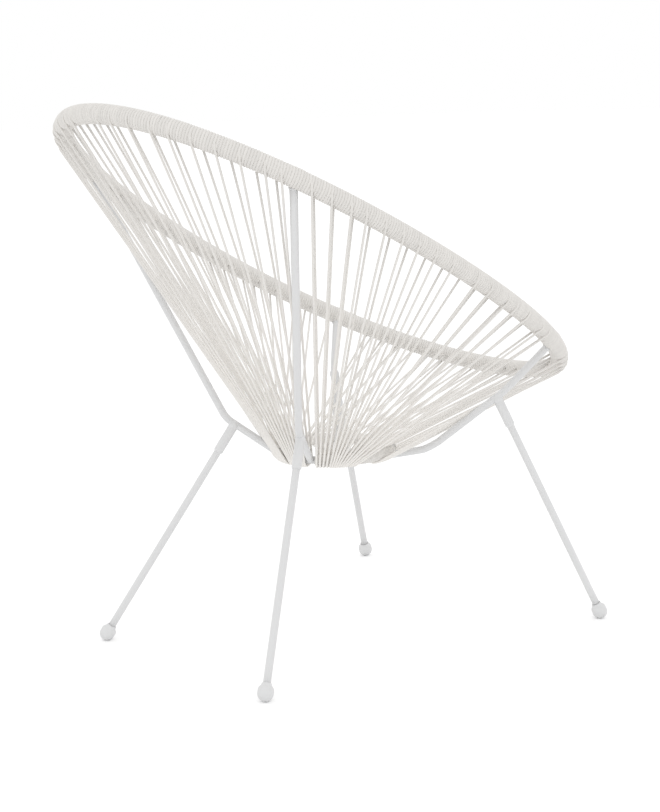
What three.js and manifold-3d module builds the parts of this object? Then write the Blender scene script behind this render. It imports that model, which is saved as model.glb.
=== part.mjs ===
// Acapulco chair: a wound oval rim leaning back over a small seat ring, with straight cords
// strung from one to the other, four arms between them and four screwed-on splayed legs.
// Millimetres, +Z up. The sitter faces -Y. X = 0 is the mirror plane. The floor is Z = 0.
import * as THREE from 'three';
import { mergeVertices } from 'three/addons/utils/BufferGeometryUtils.js';
import Module from 'manifold-3d';

const wasm = await Module();
wasm.setup();

// Driving dimensions: the rim's centreline, an egg-shaped oval in a leaning plane
const rimHalfWidth = 321.4;
const rimHalfLength = 492.8;
const rimCentreHeight = 626.3;
const rimSideRise = 5.7;
const rimTilt = THREE.MathUtils.degToRad(29);
const rimEggShare = -0.025;
const rimFullnessShare = 0.05;

// Driving dimensions: the seat ring, level and a little forward of the middle
const seatRingRadius = 92;
const seatRingHeight = 301.5;
const seatRingForward = 15;

// Driving dimensions: where the legs meet the arms, and where the feet stand. A side is measured
// from the mirror plane, a reach towards the back or the front from the chair's middle, and a
// joint's drop down from the strung surface above it.
const rearJoint = { side: 84.9, reach: 128.3, drop: 67.7 };
const frontJoint = { side: 203.2, reach: 191.6, drop: 35.4 };
const rearFoot = { side: 210.4, reach: 314.9 };
const frontFoot = { side: 295.7, reach: 336.4 };
const footAimHeight = 14;

// Tube and cord sizes
const rimTube = 22;
const rimWall = 1.5;
const seatTube = 12.7;
const armTube = 12;
const armWall = 1.5;
const legTube = 12;
const legWall = 1.2;
const woundCord = 4;
const strungCord = 3.4;
const strungSide = 2.8;
const strandSeatShare = 0.52;
const gap = 0.3;
const overrun = 20;

// Socket, stud, insert and foot cap sizes, all along a leg's own axis
const socketTube = 15.8;
const socketStart = 4;
const socketLength = 55;
const legStart = 24;
const plugStart = 10;
const plugLength = 9;
const studTube = 6;
const studReach = 24;
const insertLength = 30;
const capBulb = 25;
const capNeck = 15.6;
const capLength = 28;
const capBore = 17;
const capFlatDepth = 0.5;
const capAngles = [22.5, 45, 67.5, 90];
const capWaistShare = 0.3;
const capShoulderShare = 0.8;

// How finely curves are cut
const rimStations = 72;
const seatStations = 48;
const tubeSides = 8;
const boreSides = 12;
const capSides = 16;
const bearingSteps = 40;

// Where the arms leave the rim, as shares of the half rim counted from its top
const rearArmShare = 0.2606;
const frontArmShare = 0.731;
// Where the arms meet the seat ring, as angles of plan from its back, how far below its middle,
// and how far past its middle they reach: the rear ones end on its outside, the front ones under it
const rearArmAngle = THREE.MathUtils.degToRad(24);
const frontArmAngle = THREE.MathUtils.degToRad(133.2);
const rearArmDrop = 2.5;
const frontArmDrop = 10.6;
const rearArmPast = -3;
const frontArmPast = 5;
// How much wider than a square arm's the seat winding's gap is on a slanting rear arm's far side
const rearArmSkewShare = 1.25;
// How far below the rim's middle the arms meet it, and how far above its leg's joint each arm bends
const armRimDrop = 5;
const armBendWay = 17.5;
// Points of each arm between its joint and the seat ring: share of the way in plan, share of height
const rearArmShares = [[1, 0]];
const frontArmShares = [[0.5, 0.297], [0.56, 0.218], [0.61, 0.163], [0.66, 0.119], [0.72, 0.085], [1, 0]];

// Where each pair's outer and inner cord leave the rim, as shares of the half rim from its top.
// The first 26 pairs are as photographed. The rest are hidden there, and spaced evenly.
const pairShares = [
  [0.0254, 0.0131], [0.045, 0.031], [0.0687, 0.0519], [0.0964, 0.084], [0.118, 0.1108],
  [0.1443, 0.1467], [0.1717, 0.1805], [0.1991, 0.2112], [0.2276, 0.2358], [0.2465, 0.2532],
  [0.2821, 0.2834], [0.3065, 0.3094], [0.3313, 0.3359], [0.3508, 0.36], [0.3766, 0.3896],
  [0.4014, 0.4171], [0.4243, 0.4466], [0.4501, 0.4761], [0.4777, 0.5077], [0.5196, 0.5384],
  [0.5452, 0.566], [0.58, 0.595], [0.599, 0.625], [0.627, 0.655], [0.667, 0.687], [0.686, 0.718],
];
const pairCount = 36;
const hiddenStartShare = 0.775;
const hiddenPairShare = 0.4;
// The first pair of every panel of the lacing
const panelStarts = [0, 4, 8, 12, 15, 19, 24, 28, 32, 36];

// Where the cords meet the seat ring, in degrees of plan from its back: [pair, outer cord, inner
// cord]. They leave room for the arms at the ring.
const landingAngles = [
  [0, 3, 1.2], [4, 10.6, 9.9], [8, 18, 18.9], [9, 19.8, 22.5], [10, 31.8, 30.8], [14, 44.5, 48],
  [18, 52.5, 58.5], [22, 61.5, 71.5], [25, 70.5, 85], [26, 96, 94], [29, 111, 113.5],
  [30, 141, 138.5], [35, 174, 176.5],
];
// How far outside the rim's middle the outer cords leave it and inside it the inner ones, and
// how far outside and inside the seat ring's middle they pass it
const outerRimLayer = 14.4;
const innerRimLayer = 5.5;
const outerSeatLayer = seatTube / 2 + strungCord + 2 * gap + strungSide / 2;
const innerSeatLayer = seatTube / 2 + gap + strungSide / 2 + gap;

// Worked out from the sizes above
const rimRadius = rimTube / 2;
const woundRadius = rimRadius + woundCord;
const seatTubeRadius = seatTube / 2;
const seatWoundRadius = seatTubeRadius + strungCord;
const armRadius = armTube / 2;
const legRadius = legTube / 2;
const sideAngle = Math.PI / tubeSides;
const seatCentre = new THREE.Vector3(0, -seatRingForward, seatRingHeight);

function material(colour, roughness, metalness) {
  return new THREE.MeshStandardMaterial({ color: colour, roughness, metalness });
}

const frameFinish = material(0xdcdddf, 0.45, 0.1);
const cordFinish = material(0xe6e1da, 0.6, 0);
const capFinish = material(0xdedfe0, 0.55, 0);
const steelFinish = material(0xb8babd, 0.35, 0.9);

// Closed meshes and their joins

// A closed mesh through rings of points. A closed loft joins its last ring to its first,
// an open one has a flat cap at each end. The faces are turned outwards by the volume's sign.
function loft(rings, closed) {
  const count = rings[0].length;
  const points = rings.flat();
  const faces = [];
  const spans = closed ? rings.length : rings.length - 1;
  for (let ring = 0; ring < spans; ring += 1) {
    const here = ring * count;
    const there = ((ring + 1) % rings.length) * count;
    for (let side = 0; side < count; side += 1) {
      const next = (side + 1) % count;
      faces.push([here + side, here + next, there + next], [here + side, there + next, there + side]);
    }
  }
  if (!closed) {
    const last = (rings.length - 1) * count;
    for (let side = 1; side < count - 1; side += 1) {
      faces.push([0, side + 1, side], [last, last + side, last + side + 1]);
    }
  }
  let volume = 0;
  for (const [a, b, c] of faces) {
    volume += points[a].dot(points[b].clone().cross(points[c]));
  }
  const order = volume > 0 ? faces.flat() : faces.map(([a, b, c]) => [a, c, b]).flat();
  const geometry = new THREE.BufferGeometry();
  const places = points.flatMap((point) => [point.x, point.y, point.z]);
  geometry.setAttribute('position', new THREE.Float32BufferAttribute(places, 3));
  geometry.setIndex(order);
  return geometry;
}

// A closed shell: outer rings one way, inner rings back
function shell(outer, inner) {
  return loft([...outer, ...inner.slice().reverse()], true);
}

function solidOf(geometry) {
  const bare = geometry.clone();
  bare.deleteAttribute('normal');
  bare.deleteAttribute('uv');
  const merged = mergeVertices(bare);
  const mesh = new wasm.Mesh({
    numProp: 3,
    vertProperties: new Float32Array(merged.attributes.position.array),
    triVerts: new Uint32Array(merged.index.array),
  });
  return new wasm.Manifold(mesh);
}

function geometryOf(solid) {
  const mesh = solid.getMesh();
  const geometry = new THREE.BufferGeometry();
  geometry.setAttribute('position', new THREE.Float32BufferAttribute(mesh.vertProperties, 3));
  geometry.setIndex([...mesh.triVerts]);
  return geometry;
}

// Curves

// The rim's centreline at a turn from its top: an oval across and along a leaning plane,
// fuller or narrower by two shape shares, with its sides raised off the plane
function rimPoint(turn) {
  const sine = Math.sin(turn);
  const cosine = Math.cos(turn);
  const across = rimHalfWidth * sine * (1 + rimEggShare * cosine + rimFullnessShare * cosine * cosine);
  const along = rimHalfLength * cosine;
  const rise = -rimSideRise * sine * sine;
  return new THREE.Vector3(
    across,
    along * Math.cos(rimTilt) - rise * Math.sin(rimTilt),
    rimCentreHeight + along * Math.sin(rimTilt) + rise * Math.cos(rimTilt),
  );
}

// Turns at even steps of length along the whole rim
const fineSteps = 1440;
const rimLengths = [0];
for (let step = 1; step <= fineSteps; step += 1) {
  const turn = (2 * Math.PI * step) / fineSteps;
  const before = (2 * Math.PI * (step - 1)) / fineSteps;
  rimLengths.push(rimLengths[step - 1] + rimPoint(turn).distanceTo(rimPoint(before)));
}
const rimLength = rimLengths[fineSteps];

// The turn at a share of the whole rim's length
function rimTurn(share) {
  const wrapped = share - Math.floor(share);
  const length = wrapped * rimLength;
  let low = 0;
  let high = fineSteps;
  while (high - low > 1) {
    const middle = (low + high) >> 1;
    if (rimLengths[middle] <= length) {
      low = middle;
    } else {
      high = middle;
    }
  }
  const part = (length - rimLengths[low]) / (rimLengths[high] - rimLengths[low]);
  return (2 * Math.PI * (low + part)) / fineSteps;
}

function rimAt(share) {
  return rimPoint(rimTurn(share));
}

function rimTangent(share) {
  const step = 1 / fineSteps;
  return rimAt(share + step).sub(rimAt(share - step)).normalize();
}

// The seat ring's centreline at an angle of plan from its back, towards +X
function seatAt(angle) {
  const reach = new THREE.Vector3(Math.sin(angle), Math.cos(angle), 0);
  return seatCentre.clone().addScaledVector(reach, seatRingRadius);
}

function seatTangent(angle) {
  return new THREE.Vector3(Math.cos(angle), -Math.sin(angle), 0);
}

// A ring of points round a centre, square to a tangent, with its first side facing a guide
function section(centre, tangent, guide, radius, sides) {
  const across = new THREE.Vector3().crossVectors(tangent, guide).normalize();
  const up = new THREE.Vector3().crossVectors(across, tangent).normalize();
  const ring = [];
  for (let side = 0; side < sides; side += 1) {
    const angle = (2 * Math.PI * (side + 0.5)) / sides;
    const point = centre.clone().addScaledVector(up, radius * Math.cos(angle));
    ring.push(point.addScaledVector(across, radius * Math.sin(angle)));
  }
  return ring;
}

const rimNormal = new THREE.Vector3(0, -Math.sin(rimTilt), Math.cos(rimTilt));
const upright = new THREE.Vector3(0, 0, 1);

function rimSection(station, radius) {
  const share = station / rimStations;
  return section(rimAt(share), rimTangent(share), rimNormal, radius, tubeSides);
}

function seatSection(station, radius) {
  const angle = (2 * Math.PI * station) / seatStations;
  return section(seatAt(angle), seatTangent(angle), upright, radius, tubeSides);
}

// Rings of a faceted tube between two places counted in stations. The ends lie on the facets
// between stations, so that a sleeve and the tube in it keep the same facets.
function ringsBetween(sectionAt, start, end, radius) {
  const ringOn = (place) => {
    const low = Math.floor(place);
    const part = place - low;
    const before = sectionAt(low, radius);
    const after = sectionAt(low + 1, radius);
    return before.map((point, index) => point.lerp(after[index], part));
  };
  const rings = [ringOn(start)];
  for (let station = Math.floor(start) + 1; station < end; station += 1) {
    rings.push(sectionAt(station, radius));
  }
  rings.push(ringOn(end));
  return rings;
}

function wholeRing(sectionAt, stations, radius) {
  const rings = [];
  for (let station = 0; station < stations; station += 1) {
    rings.push(sectionAt(station, radius));
  }
  return rings;
}

// The inner corner radius that leaves the gap between the flats of a tube and its sleeve
function sleeveInside(radius) {
  return radius + gap / Math.cos(sideAngle);
}

// The tube rings along a bent line of points, each square to the mean of its two directions
function tubeRings(points, radius, sides) {
  return points.map((point, index) => {
    const from = points[Math.max(index - 1, 0)];
    const to = points[Math.min(index + 1, points.length - 1)];
    const tangent = to.clone().sub(from).normalize();
    return section(point, tangent, upright, radius, sides);
  });
}

// A line of points with one corner rounded by an arc of even steps
function roundedCorner(before, corner, after, reach, steps) {
  const start = corner.clone().lerp(before, reach / corner.distanceTo(before));
  const end = corner.clone().lerp(after, reach / corner.distanceTo(after));
  return new THREE.QuadraticBezierCurve3(start, corner, end).getPoints(steps);
}

// The object
const chair = new THREE.Group();

function addMesh(name, geometry, finish) {
  const mesh = new THREE.Mesh(geometry, finish.clone());
  mesh.name = name;
  chair.add(mesh);
}

const sides = [['right', -1], ['left', 1]];
const ends = ['rear', 'front'];
const jointOf = { rear: rearJoint, front: frontJoint };
const footOf = { rear: rearFoot, front: frontFoot };

// A place on the floor plan, the rear one behind the chair's middle and the front one ahead of it
function planPoint(place, end, sign, height) {
  return new THREE.Vector3(sign * place.side, end === 'rear' ? place.reach : -place.reach, height);
}

// The height of the strung surface over a place: straight from the seat ring out to the rim
function strungHeight(place) {
  const out = place.clone().sub(seatCentre).setZ(0);
  const bearing = Math.atan2(Math.abs(out.x), out.y);
  let low = 0;
  let high = Math.PI;
  for (let step = 0; step < bearingSteps; step += 1) {
    const middle = (low + high) / 2;
    const rim = rimPoint(middle).sub(seatCentre);
    if (Math.atan2(rim.x, rim.y) < bearing) {
      low = middle;
    } else {
      high = middle;
    }
  }
  const rim = rimPoint(low).sub(seatCentre);
  const span = Math.hypot(rim.x, rim.y) - seatRingRadius;
  return seatRingHeight + (rim.z * (out.length() - seatRingRadius)) / span;
}

function jointPoint(end, sign) {
  const joint = planPoint(jointOf[end], end, sign, 0);
  return joint.setZ(strungHeight(joint) - jointOf[end].drop);
}

function footPoint(end, sign) {
  return planPoint(footOf[end], end, sign, footAimHeight);
}

function armSeatAngle(end, sign) {
  return sign * (end === 'rear' ? rearArmAngle : frontArmAngle);
}

function armRimShare(end, sign) {
  const share = (end === 'rear' ? rearArmShare : frontArmShare) / 2;
  return sign > 0 ? share : 1 - share;
}

// An arm's centreline: straight down from the rim, bent just above its leg's joint, and on through
// the joint to the seat ring
const armBendReach = armTube;
const armBendSteps = 4;

function armLine(end, sign) {
  const top = rimAt(armRimShare(end, sign)).addScaledVector(rimNormal, -armRimDrop);
  const joint = jointPoint(end, sign);
  const landing = seatAt(armSeatAngle(end, sign));
  landing.z -= end === 'rear' ? rearArmDrop : frontArmDrop;
  const shares = end === 'rear' ? rearArmShares : frontArmShares;
  const lower = shares.map(([way, height]) => {
    const point = joint.clone().lerp(landing, way);
    point.z = landing.z + (joint.z - landing.z) * height;
    return point;
  });
  const corner = joint.clone().addScaledVector(joint.clone().sub(lower[0]).normalize(), armBendWay);
  const bend = roundedCorner(top, corner, lower[0], armBendReach, armBendSteps);
  const last = lower.pop();
  const before = lower.length > 0 ? lower[lower.length - 1] : joint;
  const past = end === 'rear' ? rearArmPast : frontArmPast;
  const tip = last.clone().addScaledVector(last.clone().sub(before).normalize(), past);
  return [top, ...bend, ...lower, tip];
}

function armSolid(end, sign, clearance) {
  const line = armLine(end, sign);
  const outer = tubeRings(line, armRadius + clearance, tubeSides);
  return solidOf(loft(outer, false));
}

// The rim hoop and the seat ring
// The hoop is a bent tube whose two ends meet at its top. The seat ring is a bent round bar.
const hoopEnd = (gap / 2 / rimLength) * rimStations;
const hoopOutside = ringsBetween(rimSection, hoopEnd, rimStations - hoopEnd, rimRadius);
const hoopInside = ringsBetween(rimSection, hoopEnd, rimStations - hoopEnd, rimRadius - rimWall);
addMesh('rim_hoop', shell(hoopOutside, hoopInside), frameFinish);
addMesh('seat_ring', loft(wholeRing(seatSection, seatStations, seatTubeRadius), true), frameFinish);
const hoopClear = solidOf(loft(wholeRing(rimSection, rimStations, sleeveInside(rimRadius)), true));
const seatClear = solidOf(loft(wholeRing(seatSection, seatStations, sleeveInside(seatTubeRadius)), true));

// The four arms: bent tubes, coped to the hoop at the top and to the seat ring's underside
function addArm(end, side, sign) {
  const line = armLine(end, sign);
  const outer = tubeRings(line, armRadius, tubeSides);
  const inner = tubeRings(line, armRadius - armWall, tubeSides);
  const tube = solidOf(shell(outer, inner)).subtract(hoopClear).subtract(seatClear);
  const kept = tube.decompose().sort((a, b) => b.volume() - a.volume())[0];
  addMesh(`arm_${end}_${side}`, geometryOf(kept), frameFinish);
}

// Legs and what is on their axes, each turned from a profile of radius and way down the axis
function turned(profile, sidesRound, start, direction) {
  const points = profile.map(([radius, way]) => new THREE.Vector2(radius, way));
  const geometry = new THREE.LatheGeometry(points, sidesRound);
  const turn = new THREE.Quaternion().setFromUnitVectors(new THREE.Vector3(0, 1, 0), direction);
  geometry.applyQuaternion(turn);
  geometry.translate(start.x, start.y, start.z);
  const bare = solidOf(geometry);
  return bare.volume() > 0 ? bare : solidOf(flipped(geometry));
}

function flipped(geometry) {
  const copy = geometry.clone();
  const index = [...copy.index.array];
  for (let face = 0; face < index.length; face += 3) {
    [index[face + 1], index[face + 2]] = [index[face + 2], index[face + 1]];
  }
  copy.setIndex(index);
  return copy;
}

const socketBore = legTube + 2 * gap;
const legBore = legTube - 2 * legWall;
const insertTube = legBore - 2 * gap;
const insertBore = studTube + 2 * gap;
const plugTube = socketBore - 2 * gap;
const bulbRadius = capBulb / 2;
const floorCut = new THREE.BoxGeometry(capBulb * 2, capBulb * 2, overrun);

function addLeg(end, side, sign) {
  const joint = jointPoint(end, sign);
  const foot = footPoint(end, sign);
  const down = foot.clone().sub(joint).normalize();
  // The bulb's middle is where the axis comes down to the bulb's radius, less the flat's depth
  const bulbHeight = bulbRadius - capFlatDepth;
  const bulbWay = (joint.z - bulbHeight) / -down.z;
  const legEnd = bulbWay + bulbRadius - capLength + capBore;
  const armClear = armSolid(end, sign, gap);

  const socket = turned([
    [socketBore / 2, socketStart], [socketTube / 2, socketStart],
    [socketTube / 2, socketLength], [socketBore / 2, socketLength], [socketBore / 2, socketStart],
  ], boreSides, joint, down).subtract(armClear);
  const socketBody = socket.decompose().sort((a, b) => b.volume() - a.volume())[0];
  addMesh(`leg_socket_${end}_${side}`, geometryOf(socketBody), frameFinish);

  const plugEnd = plugStart + plugLength;
  const stud = turned([
    [0, plugStart], [plugTube / 2, plugStart], [plugTube / 2, plugEnd],
    [studTube / 2, plugEnd], [studTube / 2, plugEnd + studReach], [0, plugEnd + studReach],
  ], boreSides, joint, down).subtract(armClear);
  addMesh(`socket_stud_${end}_${side}`, geometryOf(stud), steelFinish);

  const leg = turned([
    [legBore / 2, legStart], [legRadius, legStart],
    [legRadius, legEnd], [legBore / 2, legEnd], [legBore / 2, legStart],
  ], boreSides, joint, down);
  addMesh(`leg_${end}_${side}`, geometryOf(leg), frameFinish);

  const insert = turned([
    [insertBore / 2, legStart], [insertTube / 2, legStart],
    [insertTube / 2, legStart + insertLength], [insertBore / 2, legStart + insertLength],
    [insertBore / 2, legStart],
  ], boreSides, joint, down);
  addMesh(`leg_insert_${end}_${side}`, geometryOf(insert), steelFinish);

  // The cap: a round bulb with a sloping shoulder, bored for the leg and flat where it stands
  const bore = legRadius + gap;
  const top = bulbRadius - capLength;
  const neck = capNeck / 2;
  const profile = [[bore, top], [bore, top + capBore + gap], [0, top + capBore + gap]];
  const outline = [[0, bulbRadius]];
  for (const degrees of capAngles) {
    const angle = THREE.MathUtils.degToRad(degrees);
    outline.push([bulbRadius * Math.sin(angle), bulbRadius * Math.cos(angle)]);
  }
  outline.push([bulbRadius, capWaistShare * top], [neck, capShoulderShare * top], [neck, top]);
  const way = (list) => list.map(([radius, along]) => [radius, bulbWay + along]);
  const bulb = turned(way([...outline, ...profile]), capSides, joint, down);
  const box = floorCut.clone();
  const middle = joint.clone().addScaledVector(down, bulbWay);
  box.translate(middle.x, middle.y, -overrun / 2);
  addMesh(`foot_cap_${end}_${side}`, geometryOf(bulb.subtract(solidOf(box))), capFinish);
}
for (const end of ends) {
  for (const [side, sign] of sides) {
    addArm(end, side, sign);
    addLeg(end, side, sign);
  }
}

// The seat ring's winding, in four lengths between the arms
function addSeatWinding(name, start, end) {
  const perStation = (2 * Math.PI) / seatStations;
  const outer = ringsBetween(seatSection, start / perStation, end / perStation, seatWoundRadius);
  const inside = sleeveInside(seatTubeRadius);
  const inner = ringsBetween(seatSection, start / perStation, end / perStation, inside);
  addMesh(name, shell(outer, inner), cordFinish);
}

const armHalfAngle = Math.asin((armRadius + 2 * gap) / (seatRingRadius - seatWoundRadius));
const rearAngle = armSeatAngle('rear', 1);
const rearFarAngle = rearAngle + rearArmSkewShare * armHalfAngle;
const frontAngle = armSeatAngle('front', 1);
addSeatWinding('seat_winding_rear', -rearAngle + armHalfAngle, rearAngle - armHalfAngle);
addSeatWinding('seat_winding_left', rearFarAngle, frontAngle - armHalfAngle);
addSeatWinding('seat_winding_right', -frontAngle + armHalfAngle, -rearFarAngle);
addSeatWinding('seat_winding_front', frontAngle + armHalfAngle, 2 * Math.PI - frontAngle - armHalfAngle);

// Every pair's two places on the rim and two angles at the seat ring
function pairPlaces(pair) {
  if (pair < pairShares.length) {
    return pairShares[pair];
  }
  const hidden = pairCount - pairShares.length;
  const pitch = (1 - hiddenStartShare) / hidden;
  const middle = hiddenStartShare + (pair - pairShares.length + 0.5) * pitch;
  return [middle - (hiddenPairShare * pitch) / 2, middle + (hiddenPairShare * pitch) / 2];
}

function pairLandings(pair) {
  const after = Math.max(1, landingAngles.findIndex(([index]) => index >= pair));
  const [from, firstFrom, secondFrom] = landingAngles[after - 1];
  const [to, firstTo, secondTo] = landingAngles[after];
  const part = (pair - from) / (to - from);
  const first = THREE.MathUtils.lerp(firstFrom, firstTo, part);
  const second = THREE.MathUtils.lerp(secondFrom, secondTo, part);
  return [THREE.MathUtils.degToRad(first), THREE.MathUtils.degToRad(second)];
}

// One straight cord's line: through its place on the rim and its angle on the seat ring, both
// moved outwards or inwards to the cord's layer
function strandLine(halfShare, angle, sign, outside) {
  const share = sign > 0 ? halfShare / 2 : 1 - halfShare / 2;
  const rim = rimAt(share);
  const rimWay = rimTangent(share);
  const seat = seatAt(sign * angle);
  const seatWay = seatTangent(sign * angle);
  const way = seat.clone().sub(rim).normalize();
  const outward = (tangent) => {
    const normal = new THREE.Vector3().crossVectors(tangent, way).normalize();
    return normal.z > 0 ? normal.negate() : normal;
  };
  const foot = rim.addScaledVector(outward(rimWay), outside ? outerRimLayer : -innerRimLayer);
  const passing = seat.addScaledVector(outward(seatWay), outside ? outerSeatLayer : -innerSeatLayer);
  const run = passing.clone().sub(foot).normalize();
  return { foot, passing, run, guide: outward(seatWay), along: run.dot(rimWay), across: run.dot(seatWay) };
}

// How far along its line from the rim's middle a cord is still within a radius of the rim
function wayWithin(radius, layer, along) {
  return Math.sqrt(Math.max(radius * radius - layer * layer, 0) / (1 - along * along));
}

// One straight cord as a square bar, from inside the rim's winding to the seat ring's winding
function strand(halfShare, angle, sign, outside) {
  const line = strandLine(halfShare, angle, sign, outside);
  const rimLayer = outside ? outerRimLayer : innerRimLayer;
  const near = (outside ? outerSeatLayer : innerSeatLayer) - strungSide / 2;
  const start = wayWithin(woundRadius - strandSeatShare * woundCord, rimLayer, line.along);
  const skew = (strungSide / 2) * Math.abs(line.across) / Math.sqrt(1 - line.across * line.across);
  const back = outside ? 0 : wayWithin(seatWoundRadius + 2 * gap, near, line.across) + skew;
  const from = line.foot.clone().addScaledVector(line.run, start);
  const to = line.passing.clone().addScaledVector(line.run, -back);
  const corner = strungSide / Math.SQRT2;
  const rings = [section(from, line.run, line.guide, corner, 4), section(to, line.run, line.guide, corner, 4)];
  return solidOf(loft(rings, false));
}

// The least and the greatest share of the half rim that a pair's cords touch within the winding
function pairSpread(pair) {
  const angles = pairLandings(pair);
  const places = pairPlaces(pair).flatMap((place, cord) => {
    const outside = cord === 0;
    const { along } = strandLine(place, angles[cord], 1, outside);
    const face = (outside ? outerRimLayer : innerRimLayer) - strungSide / 2;
    return [place, place + (2 * along * wayWithin(woundRadius, face, along)) / rimLength];
  });
  return [Math.min(...places), Math.max(...places)];
}

// The lacing in panels: each is a length of the rim's winding and the cords that hang from it
function panelEnd(panel) {
  const pair = panelStarts[panel];
  if (pair === 0) {
    return 0;
  }
  if (pair === pairCount) {
    return 1;
  }
  return (pairSpread(pair - 1)[1] + pairSpread(pair)[0]) / 2;
}

function addPanel(panel, side, sign) {
  const halfGap = gap / rimLength;
  let start = panelEnd(panel) / 2 + halfGap / 2;
  let end = panelEnd(panel + 1) / 2 - halfGap / 2;
  if (sign < 0) {
    [start, end] = [1 - end, 1 - start];
  }
  const outer = ringsBetween(rimSection, start * rimStations, end * rimStations, woundRadius);
  const inside = sleeveInside(rimRadius);
  const inner = ringsBetween(rimSection, start * rimStations, end * rimStations, inside);
  let solid = solidOf(shell(outer, inner));
  for (let pair = panelStarts[panel]; pair < panelStarts[panel + 1]; pair += 1) {
    const [firstPlace, secondPlace] = pairPlaces(pair);
    const [firstAngle, secondAngle] = pairLandings(pair);
    solid = solid.add(strand(firstPlace, firstAngle, sign, true));
    solid = solid.add(strand(secondPlace, secondAngle, sign, false));
  }
  for (const armEnd of ends) {
    const share = armEnd === 'rear' ? rearArmShare : frontArmShare;
    if (share > panelEnd(panel) && share < panelEnd(panel + 1)) {
      solid = solid.subtract(armSolid(armEnd, sign, gap));
    }
  }
  addMesh(`lacing_${side}_${panel + 1}`, geometryOf(solid), cordFinish);
}

for (const [side, sign] of sides) {
  for (let panel = 0; panel < panelStarts.length - 1; panel += 1) {
    addPanel(panel, side, sign);
  }
}

export default chair;
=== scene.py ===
"""Acapulco chair seen from behind: a wound oval rim, straight cords strung to a small seat ring,
bent arms, screwed-on legs and bulb feet. Sizes are written in millimetres and used in metres."""
import math

import bpy
import numpy as np
from mathutils import Matrix, Vector


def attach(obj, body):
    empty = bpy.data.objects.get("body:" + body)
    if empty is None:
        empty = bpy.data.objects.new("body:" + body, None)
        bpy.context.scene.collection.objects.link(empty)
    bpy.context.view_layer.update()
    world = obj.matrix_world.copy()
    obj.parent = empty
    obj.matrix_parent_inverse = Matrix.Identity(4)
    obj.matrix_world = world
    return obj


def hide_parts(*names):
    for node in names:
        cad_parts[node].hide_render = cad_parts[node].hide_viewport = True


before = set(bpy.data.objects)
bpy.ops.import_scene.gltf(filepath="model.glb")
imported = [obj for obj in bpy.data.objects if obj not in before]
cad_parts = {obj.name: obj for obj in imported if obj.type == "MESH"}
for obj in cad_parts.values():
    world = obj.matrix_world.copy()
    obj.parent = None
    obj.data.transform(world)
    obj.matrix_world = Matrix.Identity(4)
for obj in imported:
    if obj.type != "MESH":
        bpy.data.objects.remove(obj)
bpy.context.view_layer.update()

MM = 0.001
FULL_TURN = 2 * math.pi

# The rim's centreline and the seat ring, as the frame has them
RIM_HALF_WIDTH, RIM_HALF_LENGTH, RIM_HEIGHT = 321.4, 492.8, 626.3
RIM_SIDE_RISE, RIM_TILT = 5.7, math.radians(29)
RIM_EGG, RIM_FULLNESS = -0.025, 0.05
SEAT_RADIUS, SEAT_HEIGHT, SEAT_FORWARD = 92.0, 301.5, 15.0
HOOP_RADIUS, SEAT_BAR_RADIUS = 11.0, 6.35
ARM_RADIUS, LEG_RADIUS, SOCKET_RADIUS = 6.0, 6.0, 7.9
LEG_WALL, TUBE_GAP = 1.2, 0.3

# Joints and feet: sideways, towards the back, height
JOINTS = {"rear": (84.9, 128.3, 354.5), "front": (203.2, -191.6, 388.0)}
FEET = {"rear": (210.4, 314.9, 14.0), "front": (295.7, -336.4, 14.0)}
ARM_RIM_SHARE = {"rear": 0.2606, "front": 0.731}
ARM_SEAT_ANGLE = {"rear": math.radians(24), "front": math.radians(133.2)}
ARM_SHARES = {
    "rear": ((1.0, 0.0),),
    "front": ((0.5, 0.297), (0.56, 0.218), (0.61, 0.163), (0.66, 0.119), (0.72, 0.085), (1.0, 0.0)),
}
ARM_DROP, ARM_PAST = {"rear": 2.5, "front": 10.6}, {"rear": -3.0, "front": 5.0}
ARM_RIM_DROP, ARM_BEND_WAY, REAR_ARM_SKEW, ARM_END_SHORT = 5.0, 17.5, 1.25, 1.5

# Where each pair of cords leaves the rim, as shares of the half rim, and lands on the seat ring
PAIR_SHARES = (
    (0.0254, 0.0131), (0.045, 0.031), (0.0687, 0.0519), (0.0964, 0.084), (0.118, 0.1108),
    (0.1443, 0.1467), (0.1717, 0.1805), (0.1991, 0.2112), (0.2276, 0.2358), (0.2465, 0.2532),
    (0.2821, 0.2834), (0.3065, 0.3094), (0.3313, 0.3359), (0.3508, 0.36), (0.3766, 0.3896),
    (0.4014, 0.4171), (0.4243, 0.4466), (0.4501, 0.4761), (0.4777, 0.5077), (0.5196, 0.5384),
    (0.5452, 0.566), (0.58, 0.595), (0.599, 0.625), (0.627, 0.655), (0.667, 0.687), (0.686, 0.718),
)
PAIR_COUNT, HIDDEN_START, HIDDEN_SHARE = 36, 0.775, 0.4
PANEL_STARTS = (0, 4, 8, 12, 15, 19, 24, 28, 32, 36)
LANDINGS = np.array((
    (0, 3, 1.2), (4, 10.6, 9.9), (8, 18, 18.9), (9, 19.8, 22.5), (10, 31.8, 30.8), (14, 44.5, 48),
    (18, 52.5, 58.5), (22, 61.5, 71.5), (25, 70.5, 85), (26, 96, 94), (29, 111, 113.5),
    (30, 141, 138.5), (35, 174, 176.5),
))
CORD_RADIUS, WOUND_RADIUS, RING_CORD_RADIUS = 1.82, 2.0, 1.7
WINDING_RADIUS = HOOP_RADIUS + 2 * WOUND_RADIUS
OUTER_RIM_LAYER, INNER_RIM_LAYER = 14.4, 5.5
OUTER_SEAT_LAYER, INNER_SEAT_LAYER = 11.75, 8.35
RIM_PITCH, RING_PITCH = 4.35, 3.5
# Grooves where one winding cord ends and the next begins (place, depth), and the swell at arms
WRAP_JOINS, WRAP_JOIN_WIDTH = ((-21.5, 1.7), (4.0, 0.9)), 1.5
ARM_SWELL, ARM_SWELL_WIDTH = 0.7, 9.0

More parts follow.
